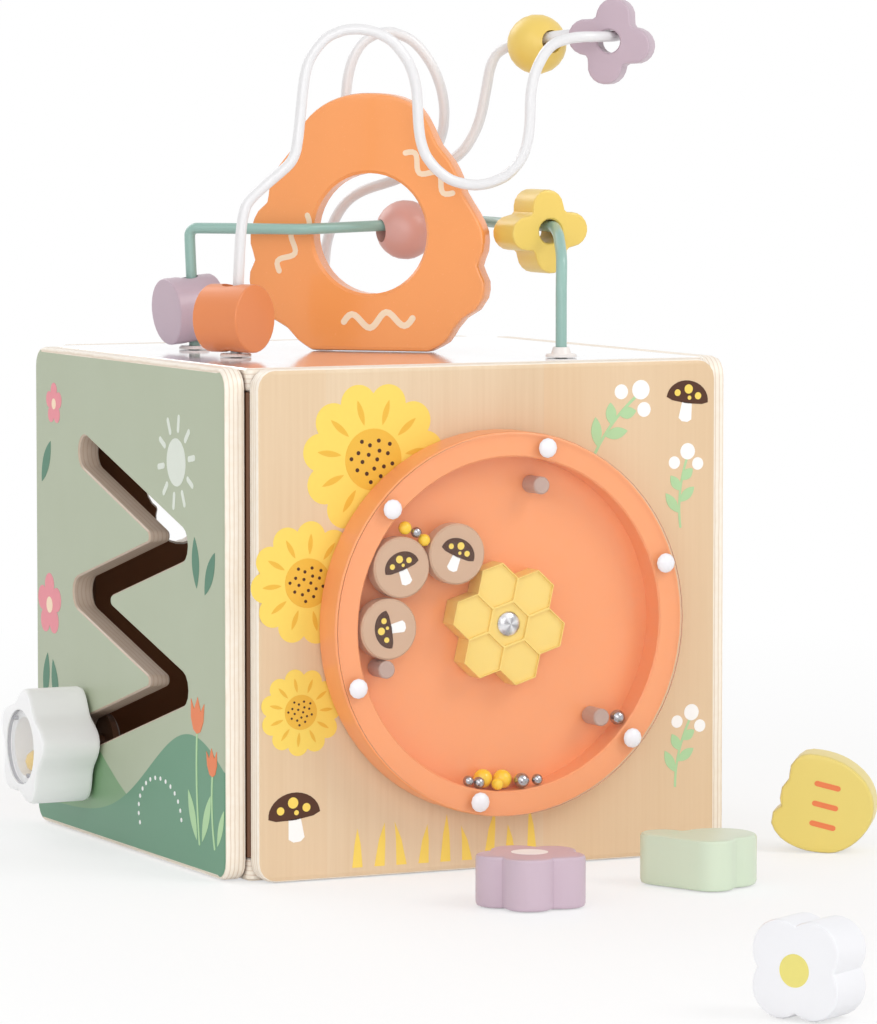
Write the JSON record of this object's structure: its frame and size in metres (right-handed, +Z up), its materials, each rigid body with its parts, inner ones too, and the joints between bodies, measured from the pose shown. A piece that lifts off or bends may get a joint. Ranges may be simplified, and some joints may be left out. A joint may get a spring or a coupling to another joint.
{
  "type": "activity cube",
  "caption": "Wooden play cube with a spinning see-through rattle drum, a zigzag sliding knob, a shape sorter, bead wires over a scalloped board, and loose blocks",
  "frame": {"origin": "centre of the underside of the cube, on the floor", "axes": "+Z is up. -Y is out of the drum panel, -X out of the zigzag panel, +Y out of the sorter panel and +X out of the panel with the hand opening"},
  "size_m": [0.3031, 0.5848, 0.3431],
  "materials": {
    "birch": "clear matt varnish",
    "sage": "satin paint on plywood",
    "white_lacquer": "gloss white lacquer on wood",
    "orange_lacquer": "satin orange lacquer on wood",
    "green_enamel": "grey-green powder coat on steel wire",
    "white_enamel": "white powder coat on steel wire",
    "cream_plastic": "moulded, satin",
    "drum_orange": "moulded, satin",
    "clear_plastic": "clear acrylic, polished",
    "white_plastic": "moulded, satin",
    "grey_plastic": "moulded, matt",
    "honey_yellow": "moulded, satin",
    "steel": "bright plated steel",
    "disc_tan": "moulded, satin",
    "bead_yellow": "moulded, gloss",
    "lilac": "satin lilac paint on turned wood",
    "pink": "satin pink paint on turned wood",
    "mint": "satin mint paint on wood",
    "soft_yellow": "satin yellow paint on wood"
  },
  "bodies": {
    "cube": {"top_board": "white_lacquer", "bottom_board": "birch", "front_panel": "birch", "left_panel": "sage", "right_panel": "birch", "back_panel": "birch", "post_front_left": "birch", "post_front_right": "birch", "post_back_left": "birch", "post_back_right": "birch", "hive_board": "orange_lacquer", "green_wire": "green_enamel", "white_wire": "white_enamel", "collar_green_left": "cream_plastic", "collar_green_right": "cream_plastic", "collar_white_left": "cream_plastic", "collar_white_right": "cream_plastic", "drum_bolt": "steel", "drum_nut": "steel"},
    "drum": {"drum_tray": "drum_orange", "drum_window": "clear_plastic", "drum_hub": "honey_yellow", "drum_rivet_1": "white_plastic", "drum_rivet_2": "white_plastic", "drum_rivet_3": "white_plastic", "drum_rivet_4": "white_plastic", "drum_rivet_5": "white_plastic", "drum_rivet_6": "white_plastic", "drum_pin_1": "grey_plastic", "drum_pin_2": "grey_plastic", "drum_pin_3": "grey_plastic"},
    "drum_discs": {"drum_disc_1": "disc_tan", "drum_disc_2": "disc_tan", "drum_disc_3": "disc_tan", "ball_yellow_upper": "bead_yellow", "ball_steel_upper": "steel", "ball_yellow_lower": "bead_yellow"},
    "drum_lone_ball": {"ball_steel_lone": "steel"},
    "drum_pile": {"ball_steel_1": "steel", "ball_steel_2": "steel", "ball_yellow_1": "bead_yellow", "ball_yellow_2": "bead_yellow", "ball_yellow_3": "bead_yellow", "ball_yellow_4": "bead_yellow", "ball_steel_3": "steel", "ball_steel_4": "steel"},
    "slider": {"slider_retainer": "white_plastic"},
    "knob": {"slider_knob": "white_plastic", "slider_window": "clear_plastic"},
    "knob_bead": {"slider_bead": "bead_yellow"},
    "orange_cylinder": {"bead_orange_cylinder": "orange_lacquer"},
    "lilac_cylinder": {"bead_lilac_cylinder": "lilac"},
    "pink_ball": {"bead_pink_ball": "pink"},
    "yellow_ball": {"bead_yellow_ball": "soft_yellow"},
    "yellow_flower": {"bead_yellow_flower": "soft_yellow"},
    "lilac_flower": {"bead_lilac_flower": "lilac"},
    "lilac_block": {"block_lilac_flower": "lilac"},
    "mint_block": {"block_mint_cloud": "mint"},
    "yellow_block": {"block_yellow_fan": "soft_yellow"},
    "white_block": {"block_white_flower": "white_lacquer"}
  },
  "joints": [
    {"name": "drum_spin", "type": "hinge", "parent": "cube", "child": "drum", "pos_m": [0.0005, -0.1095, 0.098], "axis": [0, -1, 0], "continuous": true},
    {"name": "drum_discs_swing", "type": "hinge", "parent": "drum", "child": "drum_discs", "pos_m": [0.0005, -0.1095, 0.098], "axis": [0, -1, 0], "range_deg": [-50, 0]},
    {"name": "drum_lone_ball_roll", "type": "hinge", "parent": "drum", "child": "drum_lone_ball", "pos_m": [0.0005, -0.1095, 0.098], "axis": [0, -1, 0], "range_deg": [-30, 20]},
    {"name": "drum_pile_swing", "type": "hinge", "parent": "drum", "child": "drum_pile", "pos_m": [0.0005, -0.1095, 0.098], "axis": [0, -1, 0], "range_deg": [-48, 3]},
    {"name": "slider_travel", "type": "slide", "parent": "cube", "child": "slider", "axis": [0, -0.9614, 0.2752], "range_m": [0, 0.104]},
    {"name": "knob_turn", "type": "hinge", "parent": "slider", "child": "knob", "pos_m": [-0.1105, 0.0488, 0.0378], "axis": [-1, 0, 0], "continuous": true},
    {"name": "knob_bead_roll", "type": "hinge", "parent": "knob", "child": "knob_bead", "pos_m": [-0.1105, 0.0488, 0.0378], "axis": [-1, 0, 0], "continuous": true},
    {"name": "orange_cylinder_slide", "type": "slide", "parent": "cube", "child": "orange_cylinder", "axis": [0.042, -0.008, 0.9991], "range_m": [0, 0.012]},
    {"name": "lilac_cylinder_slide", "type": "slide", "parent": "cube", "child": "lilac_cylinder", "axis": [-0.0383, 0.0191, 0.9991], "range_m": [0, 0.01]},
    {"name": "pink_ball_slide", "type": "slide", "parent": "cube", "child": "pink_ball", "axis": [0.9995, 0, 0.0314], "range_m": [-0.02, 0.018]},
    {"name": "yellow_ball_slide", "type": "slide", "parent": "cube", "child": "yellow_ball", "axis": [-0.105, 0.9907, -0.087], "range_m": [0, 0.004]},
    {"name": "yellow_flower_slide", "type": "slide", "parent": "cube", "child": "yellow_flower", "axis": [0.05, 0.9987, 0.008], "range_m": [-0.006, 0.03]},
    {"name": "lilac_flower_slide", "type": "slide", "parent": "cube", "child": "lilac_flower", "axis": [0.7994, 0.5995, 0.04], "range_m": [-0.003, 0.003]},
    {"name": "lilac_block_lift", "type": "slide", "parent": "cube", "child": "lilac_block", "axis": [0, 0, 1], "range_m": [0, 0.3]},
    {"name": "mint_block_lift", "type": "slide", "parent": "cube", "child": "mint_block", "axis": [0, 0, 1], "range_m": [0, 0.3]},
    {"name": "yellow_block_lift", "type": "slide", "parent": "cube", "child": "yellow_block", "axis": [0, 0, 1], "range_m": [0, 0.3]},
    {"name": "white_block_lift", "type": "slide", "parent": "cube", "child": "white_block", "axis": [0, 0, 1], "range_m": [0, 0.3]}
  ]
}
